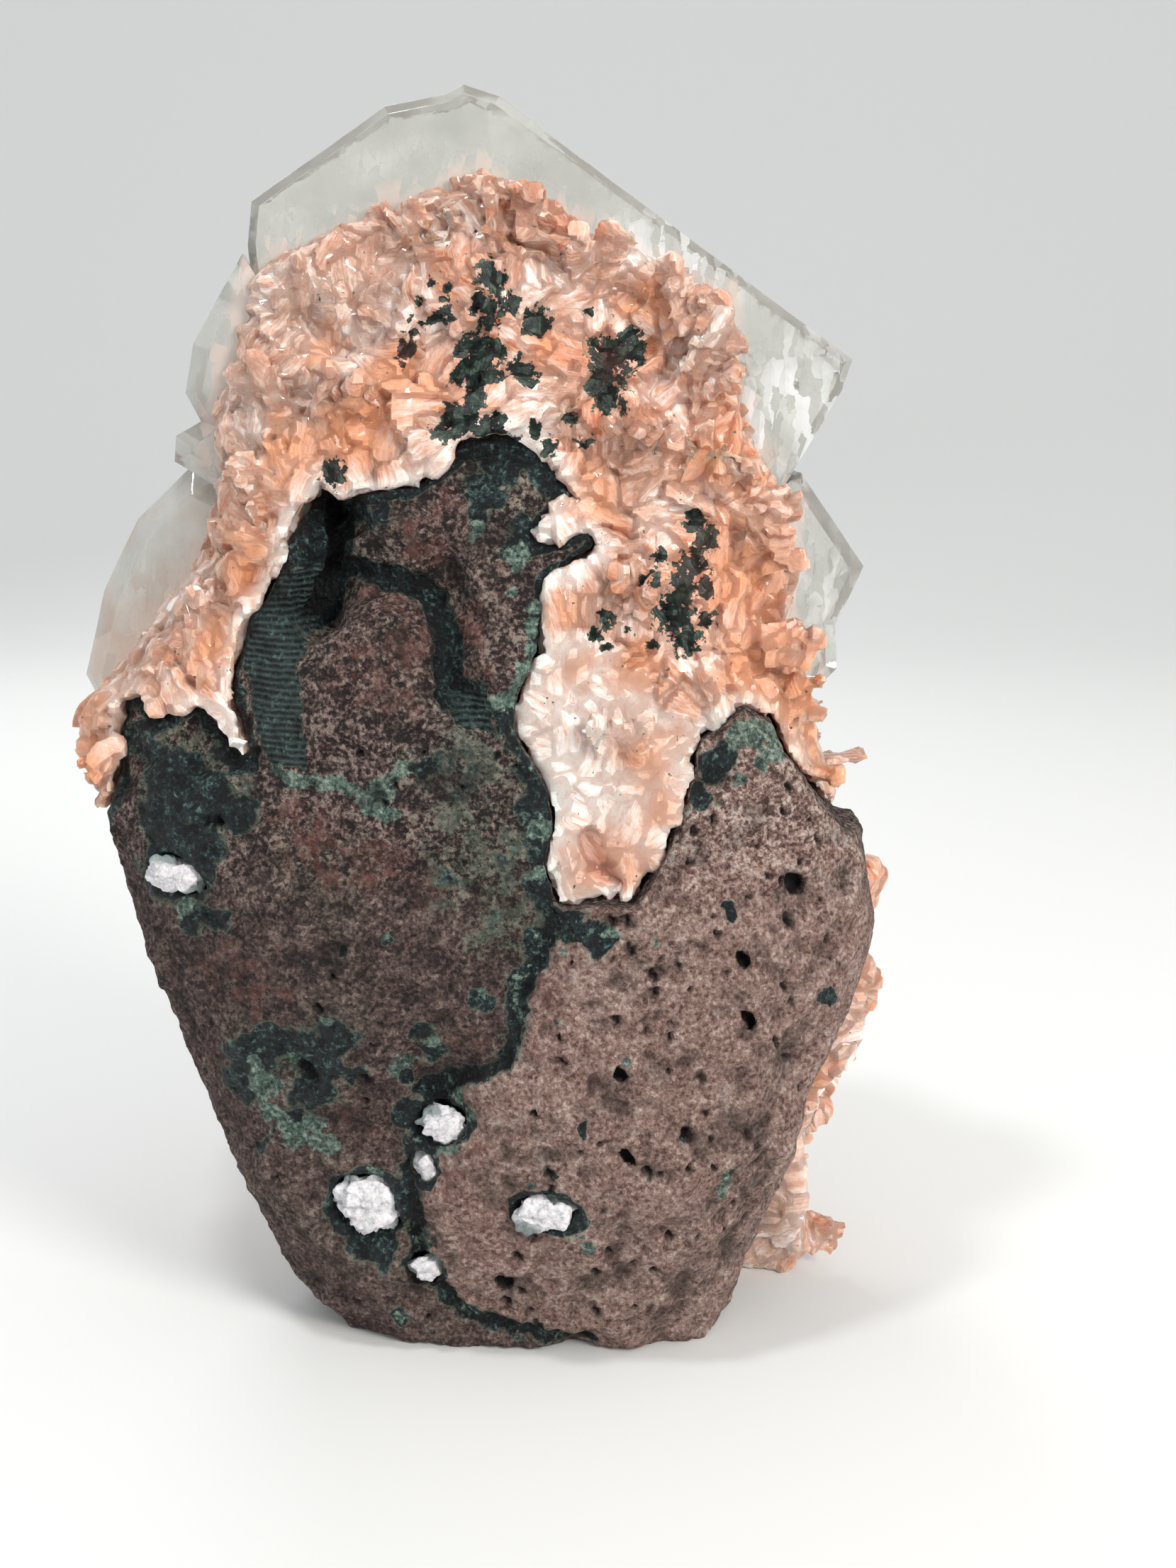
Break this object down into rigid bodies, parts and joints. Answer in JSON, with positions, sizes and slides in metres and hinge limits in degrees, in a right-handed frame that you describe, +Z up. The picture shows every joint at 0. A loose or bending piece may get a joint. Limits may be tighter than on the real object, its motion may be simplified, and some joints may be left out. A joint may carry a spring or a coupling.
{
  "type": "heulandite cluster",
  "caption": "Mineral specimen: brown basalt bare in front, peach bladed heulandite crust on its top and back, large clear crystals; stands on its broken foot.",
  "frame": {"origin": "middle of the broken flat foot of the rock, on the ground", "axes": "+Z up along the specimen's height, -Y the way the bare rock faces, +X to the right of someone who looks at the bare rock"},
  "size_m": [0.0748, 0.0485, 0.1099],
  "materials": {
    "basalt": "rough broken rock, mauve brown",
    "heulandite": "pearly and translucent, peach to orange",
    "clear crystal": "clear to milky, glassy faces",
    "white zeolite": "matt white, finely fibrous"
  },
  "bodies": {
    "root": {"basalt": "basalt", "heulandite_crust": "heulandite", "clear_crystals_top": "clear crystal", "clear_crystal_left_shoulder": "clear crystal", "clear_crystals_back_middle": "clear crystal", "clear_crystals_back_lower": "clear crystal", "clear_crystal_back_left": "clear crystal", "zeolite_filling_lower_left": "white zeolite", "zeolite_filling_centre": "white zeolite", "zeolite_filling_crack_top": "white zeolite", "zeolite_filling_crack_middle": "white zeolite", "zeolite_filling_crack_bottom": "white zeolite", "zeolite_filling_left_edge": "white zeolite"}
  },
  "joints": []
}
